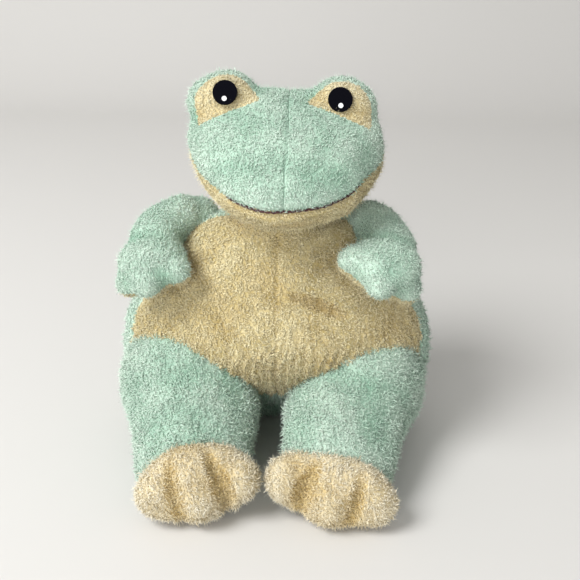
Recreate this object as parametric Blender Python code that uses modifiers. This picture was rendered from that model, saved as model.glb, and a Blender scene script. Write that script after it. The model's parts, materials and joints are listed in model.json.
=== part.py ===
"""A plush frog that sits with its legs out in front, as its sewn panels and its stuffing.

Metres, +Z up. The frog faces -Y, and left and right are its own: its left side is at +X. The
origin is the middle of the underside. Each limb starts in a ball that sits in a round socket,
so it can turn with the rest of the toy clear of it. Run with blender --background --python.
"""

import math

import bmesh
import bpy
from mathutils import Matrix, Vector
from mathutils.bvhtree import BVHTree

# Cloth, seams and clearances
SKIN = 0.004
SEAM_GAP = 0.0003
SOCKET_GAP = 0.0010
SWING_GAP = 0.0020
SWING_SLACK = 0.0006
FILLING_ROOM = 0.008
SEAT_SLACK = 0.0015
FLOOR_CUT = 0.0005
OVERRUN = 0.5
CONE_TIP = 0.002
SMOOTH_DEG = 40.0

# Torso, widest low down, where it sits
TORSO_WIDTH = 0.252
TORSO_DEPTH = 0.152
TORSO_HEIGHT = 0.194
TORSO_Y = 0.015
BELLY_SEAM_Y = -0.008
BELLY_SEAM_HEIGHT = 0.108
BELLY_SEAM_LEAN_DEG = 15.0
PELLET_HEIGHT = 0.030

# Neck
NECK_RADIUS = 0.033
NECK_HEIGHT = 0.193
NECK_Y = 0.014
NECK_REACH = 0.088
NECK_RELIEF_DEG = 5.0
NECK_TURN_DEG = 25.0
NECK_NOD_DEG = 7.0

# Head, a wide ball with a broad muzzle, tipped a little to its left
HEAD_WIDTH = 0.147
HEAD_FRONT = 0.085
HEAD_BACK = 0.050
HEAD_HEIGHT = 0.095
HEAD_BASE = 0.191
HEAD_X = 0.0035
HEAD_Y = 0.016
HEAD_ROLL_DEG = 2.6
MOUTH_HEIGHT = 0.2165
MOUTH_TILT_DEG = 17.0
MOUTH_REACH = {"right": 0.036, "left": 0.048}
JAW_BACK_Y = 0.030
MOUTH_THREAD = 0.0012
MOUTH_POINTS = 15

# Eyes
EYE_RADIUS = 0.0245
EYE_SPACING = 0.080
EYES_X = -0.001
EYE_FLARE = 0.007
EYE_HEIGHT = 0.273
EYE_Y = 0.021
PATCH_RADIUS = 0.026
PATCH_DROP = 0.008
PATCH_EDGE_DROP = {"right": 0.0134, "left": 0.0108}
PATCH_EDGE_DEG = 24.0
PUPIL_RADIUS = 0.0090
PUPIL_THICKNESS = 0.0018
PUPIL_SUNK = 0.0012
EYES_UP_DEG = 27.0
EYES_OUT_DEG = 4.0
GLINT_RADIUS = 0.0018
GLINT_THICKNESS = 0.0006
GLINT_DROP = 0.0048

# Arms
ARM_RADIUS = 0.020
ARM_LENGTH = 0.080
SHOULDER_X = 0.064
SHOULDER_Y = 0.030
SHOULDER_HEIGHT = 0.178
SHOULDER_OPEN_DEG = 45.0
SHOULDER_LEAN_DEG = 20.0
SHOULDER_SEAT_RADIUS = 0.007
SHOULDER_SEAT_DEPTH = 0.018
PALM_WIDTH = 0.058
PALM_THICKNESS = 0.040
FINGER_RADIUS = 0.0135
FINGER_LENGTH = 0.034
UNDERSIDE_DROP = 0.008

# Legs
HIP_X = {"right": 0.069, "left": 0.0665}
HIP_Y = -0.012
HIP_HEIGHT = 0.055
HIP_RADIUS = {"right": 0.059, "left": 0.056}
LEG_LENGTH = 0.094
ANKLE_WIDTH = 0.085
ANKLE_HEIGHT = 0.062
HIP_UP_DEG = 15.0
HIP_DOWN_DEG = 20.0
HIP_SEAT_RADIUS = 0.010
HIP_SEAT_X = 0.012
STUFFING_HOLE_DEPTH = 0.018

# Feet
FOOT_WIDTH = {"right": 0.086, "left": 0.094}
FOOT_HEIGHT = {"right": 0.062, "left": 0.056}
FOOT_LENGTH = 0.036
SOLE_HEIGHT = 0.016
TOE_RADIUS = 0.0175
TOE_LENGTH = 0.037

# Sides of a ring before it is subdivided, and of a lobe
FORM_SIDES = 10
FILLING_SIDES = 6
FORM_LOBE = (10, 7)
FILLING_LOBE = (8, 6)
NECK_LOBE = (16, 10)
HIP_LOBE = (18, 10)
PATCH_LOBE = (20, 12)
CONE_SIDES = 24
DISC_SIDES = 20

# Torso rings: height, half width, reach forward, reach back, each as a share of its own size
TORSO_RING_SHARES = (
    (0.000, 0.35, 0.04, 0.34),
    (0.000, 0.74, 0.08, 0.72),
    (0.090, 0.97, 0.14, 0.96),
    (0.270, 1.04, 0.66, 1.04),
    (0.470, 1.05, 1.08, 0.99),
    (0.650, 0.93, 0.87, 0.86),
    (0.800, 0.71, 0.60, 0.69),
    (0.930, 0.56, 0.46, 0.60),
    (1.000, 0.36, 0.30, 0.38),
)

# Head rings: height, half width, reach forward, reach back
HEAD_RING_SHARES = (
    (0.000, 0.34, 0.34, 0.22),
    (0.060, 0.60, 0.76, 0.40),
    (0.210, 0.87, 1.03, 0.72),
    (0.430, 1.06, 0.98, 1.04),
    (0.660, 1.04, 0.72, 1.06),
    (0.860, 0.90, 0.42, 0.86),
    (1.000, 0.54, 0.16, 0.44),
)

# Each arm's line from its shoulder, as shares of the arm's length: outwards, forwards, up
ARM_LINE_SHARES = {
    "right": ((-0.04, 0.00, 0.08), (0.40, 0.22, -0.08), (0.42, 0.56, -0.18)),
    "left": ((-0.04, 0.00, 0.08), (0.34, 0.32, -0.12), (0.25, 0.82, -0.09)),
}
PALM_PLACE_SHARES = {"right": (0.36, 0.66, -0.18), "left": (0.18, 0.90, -0.08)}
FINGER_WAY_SHARES = {
    "right": ((0.70, 0.36, -0.62), (0.08, 0.92, -0.34), (-0.79, 0.60, -0.05)),
    "left": ((0.68, 0.40, -0.62), (-0.20, 0.90, -0.25), (-0.97, 0.15, 0.15)),
}

# Which way is up for a paw's seam, and how far along the arm its underside starts
PAW_RISE_SHARES = (0.33, 0.34, 0.88)
CUFF_SHARE = 0.55

# How far open the arm is where the torso is cleared for it
SWING_SHARES = (0.5, 1.0)

# Places of the leg's rings from the hip to the ankle and past it
LEG_RING_SHARES = (-0.05, 0.3, 0.65, 1.0, 1.3)

# Each leg's ankle and the middle of its foot, sideways from the hip as shares of the leg's length
ANKLE_IN_SHARE = {"right": 0.11, "left": 0.215}
FOOT_IN_SHARE = {"right": 0.140, "left": 0.225}
TOE_TURN_DEG = 15.0
FOOT_ROLL_DEG = 11.0
TOE_SPREAD_DEG = 26.0

# Each toe's place from the inner side to the outer, then its length and its drop
TOE_SHARES = ((-1, 0.94, 0.05), (0, 1.00, 0.10), (1, 0.76, 0.02))

# Colours, linear
MINT = (0.55, 0.76, 0.60, 1.0)
YELLOW = (0.85, 0.72, 0.38, 1.0)
CREAM = (0.84, 0.73, 0.46, 1.0)
BLACK = (0.006, 0.006, 0.010, 1.0)
WHITE = (0.90, 0.90, 0.90, 1.0)
BROWN = (0.24, 0.09, 0.09, 1.0)
FIBRE = (0.88, 0.88, 0.86, 1.0)
PELLET = (0.60, 0.60, 0.58, 1.0)

SIDES = {"right": -1.0, "left": 1.0}
UP = Vector((0, 0, 1))
FORWARD = Vector((0, -1, 0))
OUTWARD_X = Vector((1, 0, 0))


def clear_scene():
    for old in list(bpy.data.objects):
        bpy.data.objects.remove(old, do_unlink=True)


def collection(name):
    made = bpy.data.collections.new(name)
    bpy.context.scene.collection.children.link(made)
    return made


def material(name, colour, roughness):
    made = bpy.data.materials.new(name)
    made.use_nodes = True
    shader = made.node_tree.nodes["Principled BSDF"]
    shader.inputs["Base Color"].default_value = colour
    shader.inputs["Roughness"].default_value = roughness
    shader.inputs["Metallic"].default_value = 0.0
    made.diffuse_color = colour
    return made


def new_object(name, mesh):
    made = bpy.data.objects.new(name, mesh)
    TOOLS.objects.link(made)
    return made


def from_bmesh(name, bm):
    bmesh.ops.recalc_face_normals(bm, faces=bm.faces)
    mesh = bpy.data.meshes.new(name)
    bm.to_mesh(mesh)
    bm.free()
    return new_object(name, mesh)


def bake(made):
    """Turns an object's modifiers into plain mesh."""
    bpy.context.view_layer.update()
    seen = made.evaluated_get(bpy.context.evaluated_depsgraph_get())
    mesh = bpy.data.meshes.new_from_object(seen)
    made.modifiers.clear()
    made.data = mesh
    return made


def copy_of(form, name):
    return new_object(name, form.data.copy())


def ring(centre, across, rise, half_across, half_rise, half_fall, sides):
    """Points round a centre, with its own reach on each side of the line across."""
    points = []
    for step in range(sides):
        angle = 2 * math.pi * (step + 0.5) / sides
        lift = math.sin(angle)
        reach = half_rise if lift > 0 else half_fall
        points.append(centre + across * half_across * math.cos(angle) + rise * reach * lift)
    return points


def loft(name, rings, level=1):
    """A closed body through rings of points, made smooth by subdivision."""
    bm = bmesh.new()
    rows = [[bm.verts.new(point) for point in points] for points in rings]
    for lower, upper in zip(rows, rows[1:]):
        for i in range(len(lower)):
            j = (i + 1) % len(lower)
            bm.faces.new((lower[i], lower[j], upper[j], upper[i]))
    bm.faces.new(list(reversed(rows[0])))
    bm.faces.new(rows[-1])
    made = from_bmesh(name, bm)
    if level:
        smooth = made.modifiers.new("smooth", "SUBSURF")
        smooth.levels = level
        smooth.render_levels = level
        facets = made.modifiers.new("facets", "TRIANGULATE")
        facets.quad_method = "FIXED"
        bake(made)
    return made


def ring_swell(sides):
    """How much larger a ring starts, so that subdivision brings it back to its size."""
    return 1 / (0.75 + 0.25 * math.cos(2 * math.pi / sides))


def lobe(name, centre, half_sizes, turn, segments):
    """An ellipsoid whose own axes are turned by a rotation matrix."""
    bm = bmesh.new()
    around, along = segments
    bmesh.ops.create_uvsphere(bm, u_segments=around, v_segments=along, radius=1)
    shape = turn.to_4x4() @ Matrix.Diagonal((*half_sizes, 1))
    bmesh.ops.transform(bm, matrix=Matrix.Translation(centre) @ shape, verts=bm.verts)
    return from_bmesh(name, bm)


def ball(name, centre, radius, segments):
    return lobe(name, centre, (radius, radius, radius), Matrix.Identity(3), segments)


def disc(name, centre, axis, radius, thickness):
    bm = bmesh.new()
    bmesh.ops.create_cone(
        bm, cap_ends=True, segments=DISC_SIDES, radius1=radius, radius2=radius, depth=thickness
    )
    turn = UP.rotation_difference(axis).to_matrix().to_4x4()
    bmesh.ops.transform(bm, matrix=Matrix.Translation(centre) @ turn, verts=bm.verts)
    return from_bmesh(name, bm)


def block(name, lower, upper):
    bm = bmesh.new()
    bmesh.ops.create_cube(bm, size=1)
    middle = (lower + upper) / 2
    size = upper - lower
    shape = Matrix.Translation(middle) @ Matrix.Diagonal((*size, 1))
    bmesh.ops.transform(bm, matrix=shape, verts=bm.verts)
    return from_bmesh(name, bm)


def half_space(name, point, normal):
    """A large block on the side of a plane that its normal points to."""
    reach = Vector((OVERRUN, OVERRUN, OVERRUN))
    made = block(name, Vector((-reach.x, -reach.y, 0)), reach)
    turn = UP.rotation_difference(normal.normalized()).to_matrix().to_4x4()
    made.data.transform(Matrix.Translation(point) @ turn)
    return made


def combine(made, tools, operation):
    """Cuts, joins or trims an object by others, which are then removed."""
    for tool in tools:
        step = made.modifiers.new(operation.lower(), "BOOLEAN")
        step.operation = operation
        step.object = tool
        step.solver = "EXACT"
        bake(made)
        bpy.data.objects.remove(tool, do_unlink=True)
    return made


def grown(made, distance):
    """Moves a form's surface out along its normals, or in by a negative distance."""
    if distance:
        step = made.modifiers.new("grow", "DISPLACE")
        step.mid_level = 0
        step.strength = distance
        bake(made)
    return made


def sides_for(plain):
    return FILLING_SIDES if plain else FORM_SIDES


def lobe_for(plain):
    return FILLING_LOBE if plain else FORM_LOBE


# Places


def neck_point():
    return Vector((0, NECK_Y, NECK_HEIGHT))


def shoulder_point(side):
    return Vector((SIDES[side] * SHOULDER_X, SHOULDER_Y, SHOULDER_HEIGHT))


def hip_point(side):
    return Vector((SIDES[side] * HIP_X[side], HIP_Y, HIP_HEIGHT))


def shoulder_axis(side):
    """The line that an arm turns about as it opens, which leans so that the paw also rises."""
    lean = math.radians(SHOULDER_LEAN_DEG)
    return Vector((-math.sin(lean), 0, SIDES[side] * math.cos(lean)))


def from_shares(side, shares, length):
    """A step outwards, forwards and up from a joint, as shares of a length."""
    outwards, forwards, upwards = shares
    return Vector((SIDES[side] * outwards, -forwards, upwards)) * length


def head_roll():
    return Matrix.Rotation(math.radians(HEAD_ROLL_DEG), 4, "Y")


def on_head(point):
    """A place on the upright head, moved to where the tipped head has it."""
    pivot = Vector((HEAD_X, HEAD_Y, HEAD_BASE))
    return pivot + head_roll() @ (point - pivot)


# Forms


def torso_form(inset=0.0, plain=False):
    sides = sides_for(plain)
    swell = ring_swell(sides)
    rings = []
    for height, width, front, back in TORSO_RING_SHARES:
        centre = Vector((0, TORSO_Y, height * TORSO_HEIGHT - FLOOR_CUT))
        rings.append(
            ring(
                centre,
                OUTWARD_X,
                FORWARD,
                width * swell * TORSO_WIDTH / 2,
                front * swell * TORSO_DEPTH / 2,
                back * swell * TORSO_DEPTH / 2,
                sides,
            )
        )
    return grown(loft("torso_form", rings), -inset)


def eye_point(side):
    return on_head(Vector((EYES_X + SIDES[side] * EYE_SPACING / 2, EYE_Y, EYE_HEIGHT)))


def head_form(inset=0.0, plain=False):
    sides = sides_for(plain)
    swell = ring_swell(sides)
    rings = []
    for height, width, front, back in HEAD_RING_SHARES:
        centre = Vector((HEAD_X, HEAD_Y, HEAD_BASE + height * HEAD_HEIGHT))
        points = ring(
            centre,
            OUTWARD_X,
            FORWARD,
            width * swell * HEAD_WIDTH / 2,
            front * swell * HEAD_FRONT,
            back * swell * HEAD_BACK,
            sides,
        )
        rings.append([on_head(point) for point in points])
    made = grown(loft("head_form", rings), -inset)
    bumps = []
    for side in SIDES:
        centre = eye_point(side) + OUTWARD_X * SIDES[side] * EYE_FLARE / 2
        wide = EYE_RADIUS + EYE_FLARE / 2
        half_sizes = (wide - inset, EYE_RADIUS - inset, EYE_RADIUS - inset)
        bumps.append(lobe("eye_bump", centre, half_sizes, Matrix.Identity(3), lobe_for(plain)))
    return combine(made, bumps, "UNION")


def path_rings(centres, half_widths, half_heights, sides):
    """Rings square to a line of centres, level across."""
    swell = ring_swell(sides)
    rings = []
    for i, centre in enumerate(centres):
        ahead = centres[min(i + 1, len(centres) - 1)] - centres[max(i - 1, 0)]
        across = ahead.cross(UP).normalized()
        rise = across.cross(ahead).normalized()
        width = half_widths[i] * swell
        height = half_heights[i] * swell
        rings.append(ring(centre, across, rise, width, height, height, sides))
    return rings


def arm_form(side, inset=0.0, plain=False):
    """The arm and its paw, whose three fingers are cloth through and through."""
    shoulder = shoulder_point(side)
    line = [shoulder + from_shares(side, step, ARM_LENGTH) for step in ARM_LINE_SHARES[side]]
    line[0] = line[0] + (line[1] - line[0]).normalized() * inset
    line[-1] = line[-1] + (line[-2] - line[-1]).normalized() * inset
    radii = [ARM_RADIUS - inset] * len(line)
    made = loft("arm_form", path_rings(line, radii, radii, sides_for(plain)))
    palm = shoulder + from_shares(side, PALM_PLACE_SHARES[side], ARM_LENGTH)
    palm_sizes = (PALM_WIDTH / 2 - inset, PALM_WIDTH / 2 - inset, PALM_THICKNESS / 2 - inset)
    lobes = [
        ball("shoulder_ball", shoulder, ARM_RADIUS - inset, lobe_for(plain)),
        lobe("palm", palm, palm_sizes, Matrix.Identity(3), lobe_for(plain)),
    ]
    for way in () if plain else FINGER_WAY_SHARES[side]:
        ahead = from_shares(side, way, 1).normalized()
        turn = OUTWARD_X.rotation_difference(ahead).to_matrix()
        half_sizes = (FINGER_LENGTH / 2 - inset, FINGER_RADIUS - inset, FINGER_RADIUS - inset)
        centre = palm + ahead * (PALM_WIDTH - FINGER_LENGTH / 2) / 2
        lobes.append(lobe("finger", centre, half_sizes, turn, lobe_for(plain)))
    return combine(made, lobes, "UNION")


def leg_line(side):
    hip = hip_point(side)
    ankle = Vector(
        (
            hip.x - SIDES[side] * ANKLE_IN_SHARE[side] * LEG_LENGTH,
            hip.y - LEG_LENGTH,
            ANKLE_HEIGHT / 2 - FLOOR_CUT,
        )
    )
    return hip, ankle


def leg_tube(side, inset=0.0, plain=False):
    """The thigh and shin, as rings from the hip to past the ankle."""
    hip, ankle = leg_line(side)
    swell = ring_swell(sides_for(plain))
    root = HIP_RADIUS[side] - inset
    rings = []
    for share in LEG_RING_SHARES:
        width = (root + (ANKLE_WIDTH / 2 - HIP_RADIUS[side]) * share) * swell
        height = (root + (ANKLE_HEIGHT / 2 - HIP_RADIUS[side]) * share) * swell
        centre = hip.lerp(ankle, share)
        rings.append(ring(centre, OUTWARD_X, UP, width, height, height, sides_for(plain)))
    return loft("leg_tube", rings)


def leg_form(side, inset=0.0, plain=False):
    segments = FILLING_LOBE if plain else HIP_LOBE
    hip_ball = ball("hip_ball", hip_point(side), HIP_RADIUS[side] - inset, segments)
    return combine(leg_tube(side, inset, plain), [hip_ball], "UNION")


def foot_form(side, inset=0.0, plain=False):
    """The foot, whose three toes are cloth through and through."""
    hip, ankle = leg_line(side)
    turn = Matrix.Rotation(math.radians(-SIDES[side] * TOE_TURN_DEG), 3, "Z")
    turn = turn @ Matrix.Rotation(math.radians(SIDES[side] * FOOT_ROLL_DEG), 3, "Y")
    heel = Vector((hip.x - SIDES[side] * FOOT_IN_SHARE[side] * LEG_LENGTH, ankle.y, 0))
    middle = heel + Vector((0, -FOOT_LENGTH / 4, FOOT_HEIGHT[side] / 2 - FLOOR_CUT))
    half_sizes = (
        FOOT_WIDTH[side] / 2 - inset,
        FOOT_LENGTH / 2 + SKIN - inset,
        FOOT_HEIGHT[side] / 2 - inset,
    )
    made = lobe("foot_form", middle, half_sizes, turn, lobe_for(plain))
    toes = []
    for place, length_share, drop_share in () if plain else TOE_SHARES:
        spread = math.radians(place * TOE_SPREAD_DEG)
        ahead = turn @ Vector((SIDES[side] * math.sin(spread), -math.cos(spread), 0))
        across = turn @ OUTWARD_X * SIDES[side]
        length = TOE_LENGTH * length_share
        centre = middle + across * place * (FOOT_WIDTH[side] / 2 - TOE_RADIUS)
        centre = centre + ahead * (length - TOE_RADIUS) / 2
        centre = centre - UP * drop_share * FOOT_HEIGHT[side]
        axes = OUTWARD_X.rotation_difference(ahead).to_matrix()
        sizes = (length / 2 - inset, TOE_RADIUS - inset, TOE_RADIUS + SKIN - inset)
        toes.append(lobe("toe", centre, sizes, axes, lobe_for(plain)))
    return combine(made, toes, "UNION")


# Clearances


def above_floor(made):
    """Cuts a form flat where it rests."""
    return combine(made, [half_space("floor_cut", Vector((0, 0, 0)), -UP)], "DIFFERENCE")


def cone_cutter(name, direction):
    """All that lies to one side of a shallow cone about the neck, out to the head's reach."""
    centre = neck_point()
    slope = math.tan(math.radians(NECK_RELIEF_DEG))
    edge = -direction * NECK_REACH * slope
    rings = []
    for radius, height in (
        (CONE_TIP, 0),
        (NECK_REACH, edge),
        (NECK_REACH, direction * OVERRUN),
        (CONE_TIP, direction * OVERRUN),
    ):
        middle = centre + UP * height
        rings.append(ring(middle, OUTWARD_X, FORWARD, radius, radius, radius, CONE_SIDES))
    return loft(name, rings, level=0)


def neck_cutters(direction):
    return [
        cone_cutter("neck_cone", direction),
        ball("neck_socket", neck_point(), NECK_RADIUS + SOCKET_GAP, NECK_LOBE),
    ]


def turned(made, pivot, axis, degrees):
    """Turns a form about a line through a point."""
    turn = Matrix.Rotation(math.radians(degrees), 4, axis)
    made.data.transform(Matrix.Translation(pivot) @ turn @ Matrix.Translation(-pivot))
    return made


def upper_arm_swing(side, room, share):
    """The upper arm's place when its joint has opened by a share of its range."""
    shoulder = shoulder_point(side)
    line = [shoulder + from_shares(side, step, ARM_LENGTH) for step in ARM_LINE_SHARES[side][1:]]
    radii = [ARM_RADIUS + room + SWING_SLACK] * 3
    made = loft("upper_arm", path_rings([shoulder, *line], radii, radii, FORM_SIDES))
    return turned(made, shoulder, shoulder_axis(side), share * SHOULDER_OPEN_DEG)


def torso_cutters(room, plain=False):
    """The room in the torso for the neck, for each arm as it opens and each leg as it lifts."""
    made = neck_cutters(1)
    for side in SIDES:
        made.append(arm_form(side, -room, plain))
        for share in SWING_SHARES:
            made.append(upper_arm_swing(side, room, share))
        made.append(leg_form(side, -room, plain))
        lifted = leg_tube(side, -room - SWING_SLACK, plain)
        made.append(turned(lifted, hip_point(side), -OUTWARD_X, HIP_UP_DEG))
    return made


def hip_seat(outer, slack=0.0, inner=0.0):
    """A round rod along the hips' line, from one distance out from the middle to another."""
    middle = Vector(((inner + outer) / 2, HIP_Y, HIP_HEIGHT))
    return disc("hip_seat", middle, OUTWARD_X, HIP_SEAT_RADIUS + slack, abs(outer - inner))


def shoulder_seat(side, start, end, slack=0.0):
    """A round rod down a shoulder's line, from one distance below the joint to another."""
    down = -shoulder_axis(side) * SIDES[side]
    middle = shoulder_point(side) + down * (start + end) / 2
    return disc("shoulder_seat", middle, down, SHOULDER_SEAT_RADIUS + slack, end - start)


def torso_seats(slack=0.0):
    """The stuffing that reaches out to each limb along the line that it turns about."""
    reach = HIP_SEAT_X - SEAM_GAP
    made = [hip_seat(reach, slack, -reach)]
    end = ARM_RADIUS + FILLING_ROOM + SKIN
    for side in SIDES:
        made.append(shoulder_seat(side, SHOULDER_SEAT_DEPTH + SEAM_GAP, end, slack))
    return made


# Sewn panels and stuffing


def finish(made, name, colour, parent):
    """Names a finished piece, gives it its material and hangs it on its joint."""
    made.name = name
    made.data.name = name
    made.data.materials.clear()
    made.data.materials.append(colour)
    made.data.shade_smooth()
    made.data.set_sharp_from_angle(angle=math.radians(SMOOTH_DEG))
    TOOLS.objects.unlink(made)
    PARTS.objects.link(made)
    made.parent = parent
    made.matrix_parent_inverse = parent.matrix_world.inverted()
    return made


def hollow(form, inner):
    """A skin: the outer form less the room for its stuffing."""
    return combine(form, [inner], "DIFFERENCE")


def panel(skin, name, planes):
    """The part of a skin behind each plane, half a seam short of it."""
    made = copy_of(skin, name)
    tools = []
    for point, normal in planes:
        tools.append(half_space("seam", point - normal.normalized() * SEAM_GAP / 2, normal))
    return combine(made, tools, "DIFFERENCE")


def rest_of(skin, name, planes):
    """What a panel with these planes leaves of a skin, half a seam short of it."""
    rooms = []
    for point, normal in planes:
        facing = normal if rooms else -normal
        rooms.append(half_space("room", point + normal.normalized() * SEAM_GAP / 2, facing))
    combine(rooms[0], rooms[1:], "DIFFERENCE")
    return combine(copy_of(skin, name), rooms[:1], "DIFFERENCE")


def empty(name, place, parent=None):
    made = bpy.data.objects.new(name, None)
    PARTS.objects.link(made)
    made.location = place if parent is None else place - parent.matrix_world.translation
    made.parent = parent
    bpy.context.view_layer.update()
    return made


def turns_about(joint, motion, axis, lowest_deg, highest_deg):
    """Notes on a joint's empty one way that it turns, about an axis through the empty."""
    joint[f"{motion}_axis"] = list(axis)
    joint[f"{motion}_degrees"] = [lowest_deg, highest_deg]


def remove(made):
    bpy.data.objects.remove(made, do_unlink=True)


def build_torso(root):
    skin = hollow(above_floor(torso_form()), torso_form(SKIN, plain=True))
    combine(skin, torso_cutters(SWING_GAP) + torso_seats(SEAM_GAP), "DIFFERENCE")
    seam = Vector((0, BELLY_SEAM_Y, BELLY_SEAM_HEIGHT))
    ahead = Matrix.Rotation(math.radians(-BELLY_SEAM_LEAN_DEG), 3, "X") @ FORWARD
    middle = Vector((0, 0, 0))
    finish(panel(skin, "back", [(seam, ahead)]), "back_panel", MINT_CLOTH, root)
    for side in SIDES:
        inwards = -OUTWARD_X * SIDES[side]
        planes = [(seam, -ahead), (middle, inwards)]
        finish(panel(skin, "belly", planes), f"belly_panel_{side}", YELLOW_CLOTH, root)
    remove(skin)
    filling = torso_form(SKIN + SEAM_GAP, plain=True)
    combine(filling, torso_cutters(FILLING_ROOM, plain=True), "DIFFERENCE")
    combine(filling, torso_seats(), "UNION")
    front = HIP_Y + max(HIP_RADIUS.values())
    lower = Vector((-OVERRUN, front, -OVERRUN))
    upper = Vector((OVERRUN, OVERRUN, PELLET_HEIGHT))
    slack = Vector((0, SEAM_GAP, -SEAM_GAP))
    pouch = block("pouch", lower + slack, upper + slack)
    pellets = combine(copy_of(filling, "pellets"), [pouch], "INTERSECT")
    combine(filling, [block("pouch_room", lower, upper)], "DIFFERENCE")
    finish(pellets, "seat_pellets", PELLETS, root)
    finish(filling, "body_filling", FIBREFILL, root)


def build_neck(root):
    joint = empty("neck_joint", neck_point(), root)
    turns_about(joint, "turn", UP, -NECK_TURN_DEG, NECK_TURN_DEG)
    turns_about(joint, "nod", OUTWARD_X, -NECK_NOD_DEG, NECK_NOD_DEG)
    plug = ball("neck", neck_point(), NECK_RADIUS, NECK_LOBE)
    finish(plug, "neck_filling", FIBREFILL, joint)
    return joint


def head_surface(form):
    mesh = form.data
    return BVHTree.FromPolygons(
        [vertex.co for vertex in mesh.vertices], [tuple(face.vertices) for face in mesh.polygons]
    )


def mouth_plane():
    """The seam between face and jaw, which stays level and falls towards the front."""
    point = Vector((HEAD_X, HEAD_Y - HEAD_FRONT, MOUTH_HEIGHT))
    tilt = math.radians(MOUTH_TILT_DEG)
    return point, Vector((0, -math.sin(tilt), math.cos(tilt)))


def mouth_line(surface):
    """Points across the front of the head along the mouth's seam."""
    point, normal = mouth_plane()
    back = normal.cross(OUTWARD_X)
    places = []
    for step in range(MOUTH_POINTS):
        share = step / (MOUTH_POINTS - 1)
        across = share * MOUTH_REACH["left"] - (1 - share) * MOUTH_REACH["right"]
        start = point + OUTWARD_X * across - back * OVERRUN
        places.append(surface.ray_cast(start, back)[0])
    return places


def thread(name, places, radius):
    curve = bpy.data.curves.new(name, "CURVE")
    curve.dimensions = "3D"
    curve.bevel_depth = radius
    curve.bevel_resolution = 1
    curve.use_fill_caps = True
    spline = curve.splines.new("POLY")
    spline.points.add(len(places) - 1)
    for knot, place in zip(spline.points, places):
        knot.co = (*place, 1)
    made = bpy.data.objects.new(name, curve)
    TOOLS.objects.link(made)
    bpy.context.view_layer.update()
    seen = made.evaluated_get(bpy.context.evaluated_depsgraph_get())
    mesh = bpy.data.meshes.new_from_object(seen)
    bpy.data.objects.remove(made, do_unlink=True)
    bm = bmesh.new()
    bm.from_mesh(mesh)
    bmesh.ops.remove_doubles(bm, verts=bm.verts, dist=SEAM_GAP / 10)
    return from_bmesh(name, bm)


def eye_way(side):
    """Where an eye looks: forwards, up and a little out."""
    lift = math.radians(EYES_UP_DEG)
    out = math.radians(EYES_OUT_DEG)
    return Vector(
        (SIDES[side] * math.sin(out), -math.cos(lift) * math.cos(out), math.sin(lift))
    ).normalized()


def eye_rise(way):
    """The way up across an eye that looks this way."""
    return (UP - way * UP.dot(way)).normalized()


def patch_cutter(side, slack):
    """The eye's patch: round above, and cut straight below by a seam that falls outwards."""
    way = eye_way(side)
    rise = eye_rise(way)
    front = eye_point(side) + way * EYE_RADIUS
    made = ball("patch", front - rise * PATCH_DROP, PATCH_RADIUS + slack, PATCH_LOBE)
    fall = math.radians(PATCH_EDGE_DEG)
    across = rise.cross(way) * SIDES[side]
    above = rise * math.cos(fall) + across * math.sin(fall)
    edge = front - above * (PATCH_EDGE_DROP[side] + slack)
    return combine(made, [half_space("patch_edge", edge, -above)], "DIFFERENCE")


def build_eye(side, surface, joint):
    """A round pupil let into the eye's patch, with a small glint; returns the room it needs."""
    way = eye_way(side)
    start = eye_point(side) + way * OVERRUN
    front = surface.ray_cast(start, -way)[0]
    middle = front + way * (PUPIL_THICKNESS / 2 - PUPIL_SUNK)
    pupil = disc("pupil", middle, way, PUPIL_RADIUS, PUPIL_THICKNESS)
    finish(pupil, f"pupil_{side}", PUPIL, joint)
    face = middle + way * (PUPIL_THICKNESS / 2 + SEAM_GAP + GLINT_THICKNESS / 2)
    glint = disc("glint", face - eye_rise(way) * GLINT_DROP, way, GLINT_RADIUS, GLINT_THICKNESS)
    finish(glint, f"glint_{side}", GLINT, joint)
    room = PUPIL_THICKNESS + EYE_RADIUS / 2
    ahead = front + way * (room / 2 - PUPIL_SUNK - SEAM_GAP)
    return disc("pupil_room", ahead, way, PUPIL_RADIUS + SEAM_GAP, room)


def build_head(joint):
    outer = head_form()
    surface = head_surface(outer)
    places = mouth_line(surface)
    skin = hollow(outer, head_form(SKIN, plain=True))
    combine(skin, neck_cutters(-1), "DIFFERENCE")
    combine(skin, [build_eye(side, surface, joint) for side in SIDES], "DIFFERENCE")
    combine(skin, [thread("mouth_room", places, MOUTH_THREAD + SEAM_GAP)], "DIFFERENCE")
    finish(thread("mouth", places, MOUTH_THREAD), "mouth_stitching", THREAD, joint)
    jaw_planes = [mouth_plane(), (Vector((0, JAW_BACK_Y, 0)), -FORWARD)]
    finish(panel(skin, "jaw", jaw_planes), "jaw_panel", YELLOW_CLOTH, joint)
    above = rest_of(skin, "above", jaw_planes)
    seam = on_head(Vector((HEAD_X, HEAD_Y, HEAD_BASE)))
    across = head_roll() @ OUTWARD_X
    for side in SIDES:
        crown = panel(above, "crown", [(seam, -across * SIDES[side])])
        patch = copy_of(crown, "patch")
        combine(patch, [patch_cutter(side, -SEAM_GAP / 2)], "INTERSECT")
        combine(crown, [patch_cutter(side, SEAM_GAP / 2)], "DIFFERENCE")
        finish(crown, f"head_crown_{side}", MINT_CLOTH, joint)
        finish(patch, f"eye_patch_{side}", YELLOW_CLOTH, joint)
    remove(above)
    remove(skin)
    filling = head_form(SKIN + SEAM_GAP, plain=True)
    combine(filling, neck_cutters(-1), "DIFFERENCE")
    finish(filling, "head_filling", FIBREFILL, joint)


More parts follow.
